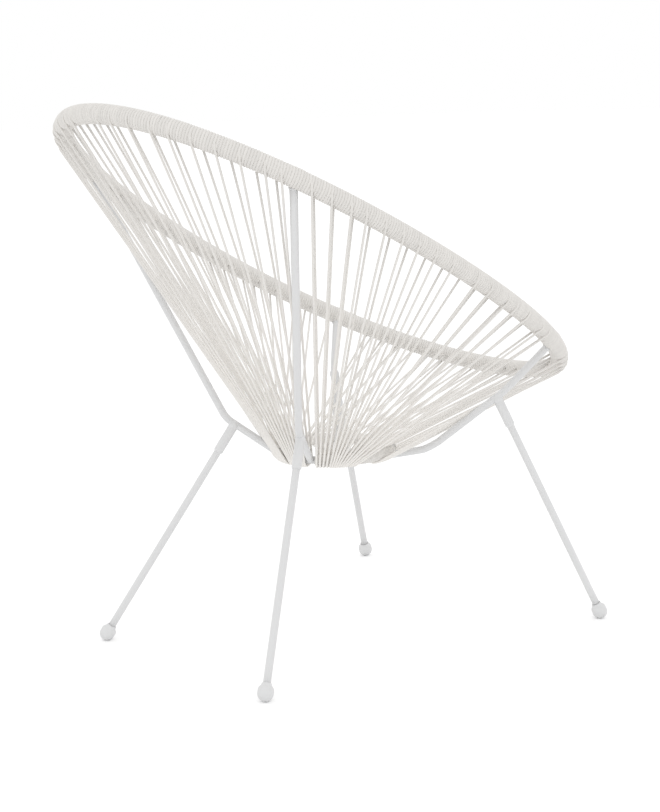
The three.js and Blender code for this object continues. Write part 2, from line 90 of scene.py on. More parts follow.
# Steps and sides of the meshes, and seeds of what is random
RIM_STEPS, RIM_HALF_STEP = 2880, 0.5
RIM_SIDES, RING_SIDES, TURN_SAMPLES, CORD_SIDES = 28, 20, 8, 10
ROOT_STEPS, RUN_STEPS, HOOK_STEPS, SPAN_STEPS = 7, 5, 15, 12
ARM_SIDES, ARM_BEND_STEPS, ARM_TOP_STEPS, STRAIGHT_STEPS, CURVED_STEPS = 20, 7, 12, 20, 40
BEAD_STEPS, BEAD_SIDES, FILLET_STEPS, FILLET_SIDES = 40, 8, 15, 28
LEG_SIDES, LEG_STEPS, CAP_SIDES, CAP_STEPS, CAP_BEND_STEPS = 24, 9, 32, 13, 5
BAR_STEPS, BAR_SIDES = 96, 16
RIM_SEED, RIM_SEED_STEP, CORD_SEED, RING_SEED, BEAD_SEED = 100, 20, 70, 300, 5

SIDES = {"right": -1, "left": 1}
ENDS = ("rear", "front")
SEAT_CENTRE = np.array((0.0, -SEAT_FORWARD, SEAT_HEIGHT))
RIM_NORMAL = np.array((0.0, -math.sin(RIM_TILT), math.cos(RIM_TILT)))
UP = np.array((0.0, 0.0, 1.0))


# Small array helpers

def unit(vectors):
    """Each vector divided by its own length."""
    return vectors / np.linalg.norm(vectors, axis=-1, keepdims=True)


def dot(a, b):
    """The sum of products along the last axis, kept as a column."""
    return (a * b).sum(axis=-1, keepdims=True)


def mix(a, b, share):
    """The straight blend of a and b."""
    return a + (b - a) * share


def slope(run, way):
    """How far a run goes along a way for each step that it makes across it."""
    return dot(run, way) / np.sqrt(1 - dot(run, way) ** 2)


def cubic(a, b, slope_a, slope_b, t):
    """The cubic from a to b whose slopes at its two ends are given, at the shares t."""
    return ((2 * t**3 - 3 * t**2 + 1) * a + (t**3 - 2 * t**2 + t) * slope_a
            + (3 * t**2 - 2 * t**3) * b + (t**3 - t**2) * slope_b)


def lengths_along(points):
    """The length of a line of points up to each of them."""
    return np.concatenate([[0.0], np.cumsum(np.linalg.norm(np.diff(points, axis=0), axis=1))])


def axes_across(axis, steepest):
    """Two directions square to an axis, the first near to upright unless the axis is steep."""
    guide = UP if abs(axis[2]) < steepest else np.array((1.0, 0.0, 0.0))
    across = unit(np.cross(guide, axis))
    return np.cross(axis, across), across


# Materials

def new_material(name):
    """A node material with its nodes and links."""
    material = bpy.data.materials.new(name)
    material.use_nodes = True
    return material, material.node_tree.nodes, material.node_tree.links


def noise(nodes, links, scale, detail=2.0, rough=0.5):
    """Noise on object coordinates."""
    where = nodes.new("ShaderNodeTexCoord")
    texture = nodes.new("ShaderNodeTexNoise")
    texture.inputs["Scale"].default_value = scale
    texture.inputs["Detail"].default_value = detail
    texture.inputs["Roughness"].default_value = rough
    links.new(where.outputs["Object"], texture.inputs["Vector"])
    return texture.outputs["Fac"]


def ramp(nodes, links, source, low, high):
    """A value carried from 0..1 into low..high."""
    node = nodes.new("ShaderNodeMapRange")
    node.inputs["To Min"].default_value = low
    node.inputs["To Max"].default_value = high
    links.new(source, node.inputs["Value"])
    return node.outputs["Result"]


def tinted(nodes, links, shader, colour, value):
    """The shader's base colour: the colour times a value near one."""
    node = nodes.new("ShaderNodeMix")
    node.data_type = "RGBA"
    node.blend_type = "MULTIPLY"
    node.inputs["Factor"].default_value = 1.0
    node.inputs["A"].default_value = (*colour, 1.0)
    links.new(value, node.inputs["B"])
    links.new(node.outputs["Result"], shader.inputs["Base Color"])


def bumped(nodes, links, shader, height, strength, distance):
    """A fine bump on the shader's normal."""
    node = nodes.new("ShaderNodeBump")
    node.inputs["Strength"].default_value = strength
    node.inputs["Distance"].default_value = distance
    links.new(height, node.inputs["Height"])
    links.new(node.outputs["Normal"], shader.inputs["Normal"])


def added(nodes, links, a, b, operation="ADD"):
    """Two values joined by one arithmetic step."""
    node = nodes.new("ShaderNodeMath")
    node.operation = operation
    links.new(a, node.inputs[0])
    links.new(b, node.inputs[1])
    return node.outputs["Value"]


CORD_COLOUR = (0.82, 0.798, 0.767)
FRAME_COLOUR = (0.715, 0.717, 0.72)
CAP_COLOUR = (0.715, 0.717, 0.72)
STEEL_COLOUR = (0.48, 0.49, 0.5)
# Highest tint of a turn of the winding, kept low as painted shade on the wound sleeves; tints of a
# strung cord at the rim, painted shade, and at the seat, painted light that makes it palest; and how far
# they vary
WOUND_TINT_AND_SHADE, RIM_END_SHADE_TINT, SEAT_END_LIGHT_TINT, TINT_SPREAD = 0.26, 0.12, 0.78, 0.1


def cord_material(name, grain_scale):
    """Smooth extruded plastic cord: each turn has its own faint tint, with a slow cloud of colour
    and a fine grain; the tint also paints shade on the winding and at the rim, and light towards the seat
    ring."""
    material, nodes, links = new_material(name)
    shader = nodes["Principled BSDF"]
    shader.inputs["IOR"].default_value = 1.5
    turn = nodes.new("ShaderNodeAttribute")
    turn.attribute_name = "tint"
    # The tint attribute: random tone per turn, plus painted shade and painted light along the cords
    own = ramp(nodes, links, turn.outputs["Fac"], low=0.88, high=1.1)
    cloud = ramp(nodes, links, noise(nodes, links, scale=9.0), low=0.975, high=1.02)
    tinted(nodes, links, shader, CORD_COLOUR, added(nodes, links, own, cloud, "MULTIPLY"))
    rough = ramp(nodes, links, noise(nodes, links, scale=60.0), low=0.42, high=0.56)
    links.new(rough, shader.inputs["Roughness"])
    grain = noise(nodes, links, scale=grain_scale, detail=3.0, rough=0.6)
    bumped(nodes, links, shader, grain, strength=0.06, distance=0.0002)
    return material


def frame_material():
    """Powder-coated steel: an even cool grey with a fine orange-peel relief."""
    material, nodes, links = new_material("powder_coat")
    shader = nodes["Principled BSDF"]
    shader.inputs["IOR"].default_value = 1.5
    cloud = ramp(nodes, links, noise(nodes, links, scale=14.0), low=0.98, high=1.015)
    tinted(nodes, links, shader, FRAME_COLOUR, cloud)
    rough = ramp(nodes, links, noise(nodes, links, scale=90.0), low=0.34, high=0.46)
    links.new(rough, shader.inputs["Roughness"])
    peel = noise(nodes, links, scale=900.0, detail=2.0)
    bumped(nodes, links, shader, peel, strength=0.16, distance=0.0002)
    return material


def cap_material():
    """Moulded plastic with a fine matt grain and a little dust-dulled colour."""
    material, nodes, links = new_material("moulded_cap")
    shader = nodes["Principled BSDF"]
    shader.inputs["IOR"].default_value = 1.48
    cloud = ramp(nodes, links, noise(nodes, links, scale=45.0, detail=4.0), low=0.965, high=1.02)
    tinted(nodes, links, shader, CAP_COLOUR, cloud)
    rough = ramp(nodes, links, noise(nodes, links, scale=200.0), low=0.5, high=0.62)
    links.new(rough, shader.inputs["Roughness"])
    grain = noise(nodes, links, scale=1400.0, detail=3.0)
    bumped(nodes, links, shader, grain, strength=0.2, distance=0.0002)
    return material


def steel_material():
    """Zinc-plated steel, faintly cloudy in colour and gloss."""
    material, nodes, links = new_material("zinc_steel")
    shader = nodes["Principled BSDF"]
    shader.inputs["Metallic"].default_value = 0.9
    cloud = ramp(nodes, links, noise(nodes, links, scale=120.0, detail=4.0), low=0.93, high=1.04)
    tinted(nodes, links, shader, STEEL_COLOUR, cloud)
    rough = ramp(nodes, links, noise(nodes, links, scale=500.0), low=0.28, high=0.4)
    links.new(rough, shader.inputs["Roughness"])
    return material


WOUND_FINISH = cord_material("cord_wound", 700.0)
STRUNG_FINISH = cord_material("cord_strung", 420.0)
FRAME_FINISH = frame_material()
CAP_FINISH = cap_material()
STEEL_FINISH = steel_material()


# Meshes

def piece(name, points, faces, finish, replaced, tints=None):
    """A mesh object from points in millimetres, riding on the chair and standing for its nodes."""
    mesh = bpy.data.meshes.new(name)
    mesh.from_pydata((points * MM).tolist(), [], faces.tolist())
    if tints is not None:
        tint = mesh.attributes.new("tint", "FLOAT", "POINT")
        tint.data.foreach_set("value", np.ascontiguousarray(tints, np.float32))
    mesh.polygons.foreach_set("use_smooth", np.full(len(faces), True))
    mesh.materials.append(finish)
    mesh.update()
    made = bpy.data.objects.new(name, mesh)
    bpy.context.scene.collection.objects.link(made)
    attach(made, "root")
    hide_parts(*replaced)


def grid_faces(rows, columns, close_rows):
    """Quads of a grid whose columns close on themselves, and its rows too if asked."""
    row = np.arange(rows if close_rows else rows - 1)[:, None]
    column = np.arange(columns)[None, :]
    after = (row + 1) % rows
    beside = (column + 1) % columns
    corners = (row * columns + column, row * columns + beside,
               after * columns + beside, after * columns + column)
    return np.stack(corners, axis=-1).reshape(-1, 4)


def facing_out(points, faces):
    """The faces, turned round if the volume they close comes out negative."""
    a, b, c, d = (points[faces[:, k]] for k in range(4))
    volume = (a * np.cross(b, c)).sum() + (a * np.cross(c, d)).sum()
    return faces if volume > 0 else faces[:, ::-1]


# Sizes of the two rings that close an end of a tube, as shares of its radius
END_SHARES = (0.001, 0.7)


def closed_tube(centres, tangents, guide, radius, sides):
    """A tube along a path: each ring lies square to its tangent, counted from the guide's
    direction. Each end closes flat, with two smaller rings of which the last is nearly a point."""
    tangents = unit(tangents)
    across = unit(np.cross(guide, tangents))
    lift = np.cross(tangents, across)
    angle = (np.arange(sides) / sides * FULL_TURN)[None, :, None]
    rings = centres[:, None] + radius * (np.cos(angle) * lift[:, None] + np.sin(angle) * across[:, None])
    shares = np.array(END_SHARES)[:, None, None]
    first = centres[0] + (rings[0] - centres[0]) * shares
    last = centres[-1] + (rings[-1] - centres[-1]) * shares[::-1]
    rings = np.concatenate([first, rings, last])
    points = rings.reshape(-1, 3)
    faces = grid_faces(len(rings), sides, False)
    return points, facing_out(points, faces)


def joined(parts):
    """Several (points, faces, tints) meshes as one."""
    offset, points, faces, tints = 0, [], [], []
    for part_points, part_faces, part_tints in parts:
        points.append(part_points)
        faces.append(part_faces + offset)
        tints.append(part_tints)
        offset += len(part_points)
    return np.concatenate(points), np.concatenate(faces), np.concatenate(tints)


# Curves of the frame

def rim_point(turn):
    """The rim at a turn from its top: an oval across and along the leaning plane, its width
    changed by the egg and fullness shares, its sides lifted off the plane by sine squared."""
    sine, cosine = np.sin(turn), np.cos(turn)
    across = RIM_HALF_WIDTH * sine * (1 + RIM_EGG * cosine + RIM_FULLNESS * cosine**2)
    along = RIM_HALF_LENGTH * cosine
    rise = -RIM_SIDE_RISE * sine**2
    back = along * math.cos(RIM_TILT) - rise * math.sin(RIM_TILT)
    height = RIM_HEIGHT + along * math.sin(RIM_TILT) + rise * math.cos(RIM_TILT)
    return np.stack([across, back, height], axis=-1)


FINE_TURNS = np.linspace(0, FULL_TURN, RIM_STEPS + 1)
FINE_LENGTHS = lengths_along(rim_point(FINE_TURNS))
RIM_LENGTH = FINE_LENGTHS[-1]


def rim_at(length):
    """The rim at a length from its top, towards the sitter's left."""
    return rim_point(np.interp(np.mod(length, RIM_LENGTH), FINE_LENGTHS, FINE_TURNS))


def rim_way(length):
    """The rim's direction there, from points half a millimetre either side."""
    return unit(rim_at(length + RIM_HALF_STEP) - rim_at(length - RIM_HALF_STEP))


def whole_share(half_share, sign):
    """A share of the half rim on one side, as a share of the whole rim."""
    return half_share / 2 if sign > 0 else 1 - half_share / 2


def seat_at(angle):
    """The seat ring at an angle of plan from its back."""
    reach = np.stack([np.sin(angle), np.cos(angle), 0 * angle], axis=-1)
    return SEAT_CENTRE + SEAT_RADIUS * reach


def seat_way(angle):
    """The seat ring's direction there."""
    return np.stack([np.cos(angle), -np.sin(angle), 0 * angle], axis=-1)


# Wound sleeves

# Half width of a ridge and its lowest height squared, as shares of the cord's radius
RIDGE_WIDTH_SHARE, RIDGE_LOW_SHARE = 1.04, 0.035
# How far turns stand out of line in millimetres, and lie aside as a share of their pitch
SLACK_SPREAD, SHIFT_SPREAD_SHARE = 0.045, 0.03
# Rings of a sleeve's inner wall: one for so many turns, and at least so many
INNER_RING_TURNS, LEAST_INNER_RINGS = 3, 3


def ridge(place, cord, pitch):
    """Height of a round cord's crown over the layer's middle, at a place within one turn,
    where a whole number is the valley between two turns."""
    off = (np.mod(place, 1.0) - 0.5) * pitch
    inside = np.clip(1 - (off / (cord * RIDGE_WIDTH_SHARE)) ** 2, RIDGE_LOW_SHARE, 1)
    return cord * np.sqrt(inside)


def wound_sleeve(start, end, at, way, guide, core, cord, pitch_wanted, sides, seed, swell=None):
    """A close winding round a bent core: the outer radius is the core's plus the cord's plus the
    ridge height, where the ridge moves one turn along for each time round. The inside is a plain
    wall just over the core, and both ends are flat rings between the two."""
    rng = np.random.default_rng(seed)
    turns = max(2, round((end - start) / pitch_wanted))
    pitch = (end - start) / turns
    rows = turns * TURN_SAMPLES + 1
    place = np.linspace(0.0, turns, rows)
    length = start + place * pitch
    theta = np.arange(sides) / sides
    phase = place[:, None] + theta[None, :]
    number = np.floor(phase).astype(int)
    slack = rng.normal(0.0, SLACK_SPREAD, turns + 2)
    shift = rng.normal(0.0, SHIFT_SPREAD_SHARE, turns + 2)
    # Each turn gets a random tint below a low ceiling, which also paints shade on the whole winding
    tint = WOUND_TINT_AND_SHADE * rng.random(turns + 2)
    crown = np.sin(np.pi * np.mod(phase, 1.0))
    height = ridge(phase + shift[number] * crown, cord, pitch)
    radius = core + cord + height + slack[number] * crown
    if swell is not None:
        radius = radius + swell(length)[:, None]
    centres, tangents = at(length), way(length)
    across = unit(np.cross(guide, tangents))
    lift = np.cross(tangents, across)
    angle = theta * FULL_TURN
    spokes = (np.cos(angle)[None, :, None] * lift[:, None]
              + np.sin(angle)[None, :, None] * across[:, None])
    outer = centres[:, None] + radius[..., None] * spokes
    inner_rings = max(LEAST_INNER_RINGS, turns // INNER_RING_TURNS)
    picks = np.unique(np.linspace(0, rows - 1, inner_rings).astype(int))[::-1]
    inner = centres[picks][:, None] + (core + TUBE_GAP) * spokes[picks]
    rings = np.concatenate([outer, inner])
    values = np.concatenate([tint[number], np.full((len(picks), sides), WOUND_TINT_AND_SHADE)])
    points = rings.reshape(-1, 3)
    faces = facing_out(points, grid_faces(len(rings), sides, True))
    return points, faces, values.reshape(-1)


# Strung cords

def pair_places(pairs):
    """Both places of each pair on the half rim: photographed ones first, then evenly pitched."""
    known = len(PAIR_SHARES)
    pitch = (1 - HIDDEN_START) / (PAIR_COUNT - known)
    middles = HIDDEN_START + (np.arange(PAIR_COUNT - known) + 0.5) * pitch
    hidden = np.stack([middles - HIDDEN_SHARE * pitch / 2, middles + HIDDEN_SHARE * pitch / 2], axis=1)
    return np.concatenate([np.array(PAIR_SHARES), hidden])[pairs]


def pair_landings(pairs):
    """Both angles of each pair on the seat ring, straight between the listed ones."""
    return np.radians(np.stack([
        np.interp(pairs, LANDINGS[:, 0], LANDINGS[:, 1]),
        np.interp(pairs, LANDINGS[:, 0], LANDINGS[:, 2]),
    ], axis=1))


def cord_line(half_share, angle, sign, outside):
    """A straight cord's line: its place on the rim and its angle on the ring, both moved out or in
    to the cord's layer, with the run between them, the outward directions at the rim and at the
    ring, and the share of the run that goes along the rim."""
    share = whole_share(half_share, sign)
    rim, rim_dir = rim_at(share * RIM_LENGTH), rim_way(share * RIM_LENGTH)
    seat, seat_dir = seat_at(sign * angle), seat_way(sign * angle)
    way = unit(seat - rim)

    def outward(tangent):
        normal = unit(np.cross(tangent, way))
        return normal * np.where(normal[..., 2:] > 0, -1.0, 1.0)

    foot = rim + outward(rim_dir) * (OUTER_RIM_LAYER if outside else -INNER_RIM_LAYER)
    passing = seat + outward(seat_dir) * (OUTER_SEAT_LAYER if outside else -INNER_SEAT_LAYER)
    run = unit(passing - foot)
    return foot, passing, run, outward(rim_dir), outward(seat_dir), dot(run, rim_dir)


def way_within(radius, layer, along):
    """How far along its line from the rim's middle a cord is still within a radius of the rim."""
    return np.sqrt(max(radius**2 - layer**2, 0.0) / (1 - along**2))


def smooth_path(corners, steps):
    """Quadratic bends: each (start, corner, end) as even steps of the usual weights."""
    start, corner, end = corners
    t = np.linspace(0, 1, steps)[None, :, None]
    return ((1 - t) ** 2 * start[:, None] + 2 * t * (1 - t) * corner[:, None] + t**2 * end[:, None])


# The wrap on the winding's outside, and the root of an inner cord within it
BEND_REACH, WRAP_TURN, WRAP_LIFT_SHARE, ROOT_DEPTH_SHARE = 5.0, math.radians(62), 0.55, 1.2
# How far the near face of a cord lies within its layer
FACE_INSET = 1.4


def outer_limb(foot, passing, run, lean, rim_dir):
    """An outer cord: it comes round the winding's outside on an arc that sinks into the winding,
    leaves along its tangent and runs straight to the outside of the ring."""
    middle = foot - lean * OUTER_RIM_LAYER
    ahead = unit(run - dot(run, rim_dir) * rim_dir)
    turn = np.linspace(WRAP_TURN, 0.0, ROOT_STEPS)[None, :, None]
    sink = (OUTER_RIM_LAYER - HOOP_RADIUS) * (turn / WRAP_TURN) ** 2
    radius = OUTER_RIM_LAYER + CORD_RADIUS * WRAP_LIFT_SHARE - sink
    arc = (middle[:, None] + radius * (np.cos(turn) * lean[:, None] - np.sin(turn) * ahead[:, None])
           - rim_dir[:, None] * (slope(run, rim_dir)[:, None] * OUTER_RIM_LAYER * np.sin(turn)))
    share = np.linspace(0.0, 1.0, RUN_STEPS)[None, 1:, None]
    knee = arc[:, -1] + run * BEND_REACH
    return np.concatenate([arc, mix(knee[:, None], passing[:, None], share)], axis=1)


def inner_limb(foot, passing, run, along):
    """An inner cord: it starts inside the winding and runs straight to the ring's inside."""
    start = foot + run * way_within(WINDING_RADIUS, INNER_RIM_LAYER, along)
    root = start - run * (ROOT_DEPTH_SHARE * WOUND_RADIUS)
    share = np.linspace(0.0, 1.0, RUN_STEPS + 1)[None, :, None]
    return mix(root[:, None], passing[:, None], share)


def pair_paths(pairs, sign):
    """Each pair's whole path: round the winding's outside and straight down to the ring's outer
    side, round under the ring by half a turn while creeping along it and coming in from the outer
    cord's layer to the inner one's, and straight back up to the winding. The seat ring's
    directions at the outer cords come with them."""
    places, angles = pair_places(pairs), pair_landings(pairs)
    foot_a, pass_a, run_a, lean_a, out_a, _ = cord_line(places[:, 0], angles[:, 0], sign, True)
    foot_b, pass_b, run_b, _, out_b, along_b = cord_line(places[:, 1], angles[:, 1], sign, False)
    rim_dir = rim_way(whole_share(places[:, 0], sign) * RIM_LENGTH)
    down = outer_limb(foot_a, pass_a, run_a, lean_a, rim_dir)
    back = inner_limb(foot_b, pass_b, run_b, along_b)
    # The hook: half a turn round the bar, its place along the bar a cubic through both ends
    turn = np.linspace(0.0, math.pi, HOOK_STEPS)[None, 1:-1]
    angle_a, angle_b = sign * angles[:, :1], sign * angles[:, 1:]
    way_a, way_b = seat_way(angle_a[:, 0]), seat_way(angle_b[:, 0])
    creep_a = slope(run_a, way_a) * OUTER_SEAT_LAYER / SEAT_RADIUS * math.pi
    creep_b = -slope(run_b, way_b) * INNER_SEAT_LAYER / SEAT_RADIUS * math.pi
    t = turn / math.pi
    place = cubic(angle_a, angle_b, creep_a, creep_b, t)
    lean = mix(out_a[:, None], out_b[:, None], t[..., None])
    tangent = seat_way(place)
    lean = unit(lean - dot(lean, tangent) * tangent)
    inward = unit(np.cross(tangent, lean))
    inward = inward * np.where(dot(inward, SEAT_CENTRE - seat_at(place)) < 0, -1.0, 1.0)
    around = np.cos(turn)[..., None] * lean + np.sin(turn)[..., None] * inward
    hook = seat_at(place) + mix(OUTER_SEAT_LAYER, INNER_SEAT_LAYER, t)[..., None] * around
    return np.concatenate([down, hook, back[:, ::-1]], axis=1), way_a


def path_tangents(path):
    """Directions along a path, from each point's two neighbours, weighed evenly."""
    step = unit(np.diff(path, axis=0))
    inner = unit(step[:-1] + step[1:])
    return np.concatenate([step[:1], inner, step[-1:]])


def pair_spread(pair):
    """The least and the greatest share of the half rim that a pair touches within the winding."""
    places, angles = pair_places(np.array([pair])), pair_landings(np.array([pair]))
    touched = [places[0, 0], places[0, 1]]
    for cord, (outside, layer) in enumerate(((True, OUTER_RIM_LAYER), (False, INNER_RIM_LAYER))):
        along = cord_line(places[:, cord], angles[:, cord], 1, outside)[5]
        reach = 2 * along * way_within(WINDING_RADIUS, layer - FACE_INSET, along) / RIM_LENGTH
        touched.append(places[0, cord] + reach[0, 0])
    return min(touched), max(touched)


def panel_end(panel):
    """The end of a panel on the half rim: midway between its last pair and the next."""
    pair = PANEL_STARTS[panel]
    if pair in (0, PAIR_COUNT):
        return float(pair > 0)
    return (pair_spread(pair - 1)[1] + pair_spread(pair)[0]) / 2


def rim_swell(length):
    """The winding swells a little where it runs over the tops of the arms, and sinks in a narrow
    groove at each place where one cord ends and the next begins: bell curves added up."""
    swell = np.zeros_like(length)
    for place, depth in WRAP_JOINS:
        off = np.mod(length - place + RIM_LENGTH / 2, RIM_LENGTH) - RIM_LENGTH / 2
        swell -= depth * np.exp(-((off / WRAP_JOIN_WIDTH) ** 2))
    for end in ENDS:
        for sign in SIDES.values():
            off = length - whole_share(ARM_RIM_SHARE[end], sign) * RIM_LENGTH
            swell += ARM_SWELL * np.exp(-((off / ARM_SWELL_WIDTH) ** 2))
    return swell


def cord_tints(path, luck):
    """A tint for each ring of a pair's cord, its end rings too: painted shade at both ends, on the rim,
    growing with the length to painted light in the middle, at the seat ring, plus a random spread."""
    lengths = lengths_along(path)
    tints = mix(RIM_END_SHADE_TINT, SEAT_END_LIGHT_TINT, 1 - np.abs(2 * lengths / lengths[-1] - 1)) + TINT_SPREAD * luck
    return np.pad(tints, len(END_SHARES), mode="edge")


def add_lacing(side, sign):
    """The nine panels of one side: each a length of the rim's winding with the pairs on it."""
    rng = np.random.default_rng(CORD_SEED + sign)
    for panel in range(len(PANEL_STARTS) - 1):
        ends = np.array([panel_end(panel), panel_end(panel + 1)]) / 2
        start, end = ends if sign > 0 else 1 - ends[::-1]
        parts = [wound_sleeve(
            start * RIM_LENGTH, end * RIM_LENGTH, rim_at, rim_way, RIM_NORMAL, HOOP_RADIUS, WOUND_RADIUS,
            RIM_PITCH, RIM_SIDES, RIM_SEED + RIM_SEED_STEP * sign + panel, rim_swell,
        )]
        pairs = np.arange(PANEL_STARTS[panel], PANEL_STARTS[panel + 1])
        paths, guides = pair_paths(pairs, sign)
        for path, guide in zip(paths, guides):
            points, faces = closed_tube(path, path_tangents(path), guide, CORD_RADIUS, CORD_SIDES)
            parts.append((points, faces, np.repeat(cord_tints(path, rng.random()), CORD_SIDES)))
        points, faces, tints = joined(parts)
        name = f"lacing_{side}_{panel + 1}"
        piece(f"cords_{side}_{panel + 1}", points, faces, STRUNG_FINISH, [name], tints)


def add_seat_winding():
    """The winding of the seat ring in its four lengths between the arms."""
    inside = SEAT_RADIUS - SEAT_BAR_RADIUS - 2 * RING_CORD_RADIUS
    half = math.asin((ARM_RADIUS + 2 * TUBE_GAP) / inside)
    rear, front = ARM_SEAT_ANGLE["rear"], ARM_SEAT_ANGLE["front"]
    far = rear + REAR_ARM_SKEW * half
    spans = {
        "rear": (-rear + half, rear - half), "left": (far, front - half),
        "right": (-front + half, -far), "front": (front + half, FULL_TURN - front - half),
    }
    for number, (name, (start, end)) in enumerate(spans.items()):
        points, faces, tints = wound_sleeve(
            start * SEAT_RADIUS, end * SEAT_RADIUS,
            lambda length: seat_at(length / SEAT_RADIUS), lambda length: seat_way(length / SEAT_RADIUS),
            UP, SEAT_BAR_RADIUS, RING_CORD_RADIUS, RING_PITCH, RING_SIDES, RING_SEED + number,
        )
        piece(f"ring_cord_{name}", points, faces, WOUND_FINISH, [f"seat_winding_{name}"], tints)


# Frame tubes

def rounded(before, corner, after, reach, steps):
    """A corner of a line of points rounded by a quadratic curve."""
    start = corner + unit(before - corner) * reach
    end = corner + unit(after - corner) * reach
    return smooth_path((start[None], corner[None], end[None]), steps)[0]


def even_curve(points, count):
    """A smooth curve through points: a Catmull-Rom spline in each span, at even steps."""
    ahead = np.concatenate([points[1:], [2 * points[-1] - points[-2]]])
    behind = np.concatenate([[2 * points[0] - points[1]], points[:-1]])
    slopes = (ahead - behind) / 2
    t = np.linspace(0, 1, SPAN_STEPS + 1)[:-1][:, None, None]
    curve = cubic(points[:-1], points[1:], slopes[:-1], slopes[1:], t)
    curve = np.concatenate([curve.transpose(1, 0, 2).reshape(-1, 3), points[-1:]])
    steps = lengths_along(curve)
    even = np.linspace(0, steps[-1], count)
    return np.stack([np.interp(even, steps, curve[:, k]) for k in range(3)], axis=1)


def joint_point(end, sign):
    """Where a leg's axis meets its arm's."""
    side, back, height = JOINTS[end]
    return np.array((sign * side, back, height))


def leg_way(end, sign):
    """The direction down the leg."""
    side, back, height = FEET[end]
    return unit(np.array((sign * side, back, height)) - joint_point(end, sign))


def arm_points(end, sign):
    """An arm's line: from the rim down to its bend above the leg, and smoothly on to the ring."""
    top = rim_at(whole_share(ARM_RIM_SHARE[end], sign) * RIM_LENGTH) - RIM_NORMAL * ARM_RIM_DROP
    joint = joint_point(end, sign)
    landing = seat_at(np.array(sign * ARM_SEAT_ANGLE[end])) - UP * ARM_DROP[end]
    lower = []
    for way, height in ARM_SHARES[end]:
        point = mix(joint, landing, way)
        point[2] = landing[2] + (joint[2] - landing[2]) * height
        lower.append(point)
    knee = joint + unit(joint - lower[0]) * ARM_BEND_WAY
    corner = rounded(top, knee, lower[0], 2 * ARM_RADIUS, ARM_BEND_STEPS)
    before = lower[-2] if len(lower) > 1 else joint
    lower[-1] = lower[-1] + unit(lower[-1] - before) * ARM_PAST[end]
    if len(lower) == 1:
        # A straight tube stops at the ring's winding, against the ring's bar
        lower[-1] = lower[-1] + unit(joint - lower[-1]) * ARM_END_SHORT
        below = np.linspace(corner[-1], lower[-1], STRAIGHT_STEPS)
    else:
        below = even_curve(np.array([corner[-1], *lower]), CURVED_STEPS)
    start = top + unit(knee - top) * (HOOP_RADIUS - ARM_RIM_DROP)
    above = np.linspace(start, corner[0], ARM_TOP_STEPS)
    return np.concatenate([above[:-1], corner[:-1], below])


# The bead's way from the arm's end, its width, its ripples and how far they and their start vary
BEAD_WAY, BEAD_WIDTH, BEAD_RIPPLES = 4.6, 1.4, 11
BEAD_RIPPLE_SHARE, BEAD_SPREAD_SHARE, BEAD_START_SPREAD = 0.12, 0.04, 6
# From these heights of a direction on, X and not Z is the guide of what is turned round it
BEAD_STEEPEST, TURNED_STEEPEST = 0.9, 0.8


def weld_bead(centre, axis, radius, width, seed):
    """A weld bead round a tube: a ring whose own radius ripples, laid square to the axis."""
    rng = np.random.default_rng(seed)
    turn = np.arange(BEAD_STEPS) / BEAD_STEPS * FULL_TURN
    lift, across = axes_across(axis, BEAD_STEEPEST)
    spoke = np.cos(turn)[:, None] * lift + np.sin(turn)[:, None] * across
    wave = np.sin(BEAD_RIPPLES * turn + rng.random() * BEAD_START_SPREAD)
    ripple = 1 + BEAD_RIPPLE_SHARE * wave + rng.normal(0, BEAD_SPREAD_SHARE, BEAD_STEPS)
    around = (np.arange(BEAD_SIDES) / BEAD_SIDES * FULL_TURN)[None, :, None]
    body = (radius * spoke)[:, None] + (width * ripple)[:, None, None] * (
        np.cos(around) * spoke[:, None] + np.sin(around) * axis)
    points = (centre + body).reshape(-1, 3)
    return points, facing_out(points, grid_faces(BEAD_STEPS, BEAD_SIDES, True)), np.zeros(len(points))


def add_arm(end, side, sign):
    """A bent tube with its weld bead at the rim."""
    line = arm_points(end, sign)
    tangents = path_tangents(line)
    sideways = unit(np.cross(line[-1] - line[0], line[len(line) // 2] - line[0]))
    points, faces = closed_tube(line, tangents, sideways, ARM_RADIUS, ARM_SIDES)
    place = line[0] + tangents[0] * BEAD_WAY
    top = weld_bead(place, tangents[0], ARM_RADIUS, BEAD_WIDTH, BEAD_SEED + sign)
    points, faces, _ = joined([(points, faces, np.zeros(len(points))), top])
    piece(f"arm_tube_{end}_{side}", points, faces, FRAME_FINISH, [f"arm_{end}_{side}"])


def turned(profile, origin, axis, sides):
    """A closed profile of (radius, way) turned round an axis from an origin."""
    profile = np.array(profile, float)
    lift, across = axes_across(axis, TURNED_STEEPEST)
    angle = (np.arange(sides) / sides * FULL_TURN)[None, :, None]
    spoke = np.cos(angle) * lift + np.sin(angle) * across
    points = origin + profile[:, 1][:, None, None] * axis + profile[:, 0][:, None, None] * spoke
    faces = grid_faces(len(profile), sides, True)
    points = points.reshape(-1, 3)
    return points, facing_out(points, faces), np.zeros(len(points))


SOCKET_START, SOCKET_LENGTH, SOCKET_TAPER, SOCKET_ROUND, LEG_START = 4.0, 55.0, 3.0, 0.3, 24.0
FILLET_RADIUS, FILLET_LENGTH, FILLET_WAY, FILLET_POLE = 8.5, 9.5, 3.6, 0.001
CAP_BULB, CAP_LENGTH, CAP_BORE, CAP_FLAT, CAP_NECK, CAP_AXIS = 12.5, 28.0, 17.0, 0.5, 7.8, 0.01
# The cap's shoulder and neck: heights as shares of the top's, and how far in from the bulb
CAP_SHOULDER_SHARES, CAP_NECK_SHARES = (0.3, 0.52, 0.64), (0.74, 0.84)
CAP_SHOULDER_IN, CAP_NECK_IN, CAP_LIP_HEIGHT, CAP_LIP_IN = 2.2, 3.4, 0.5, 0.4


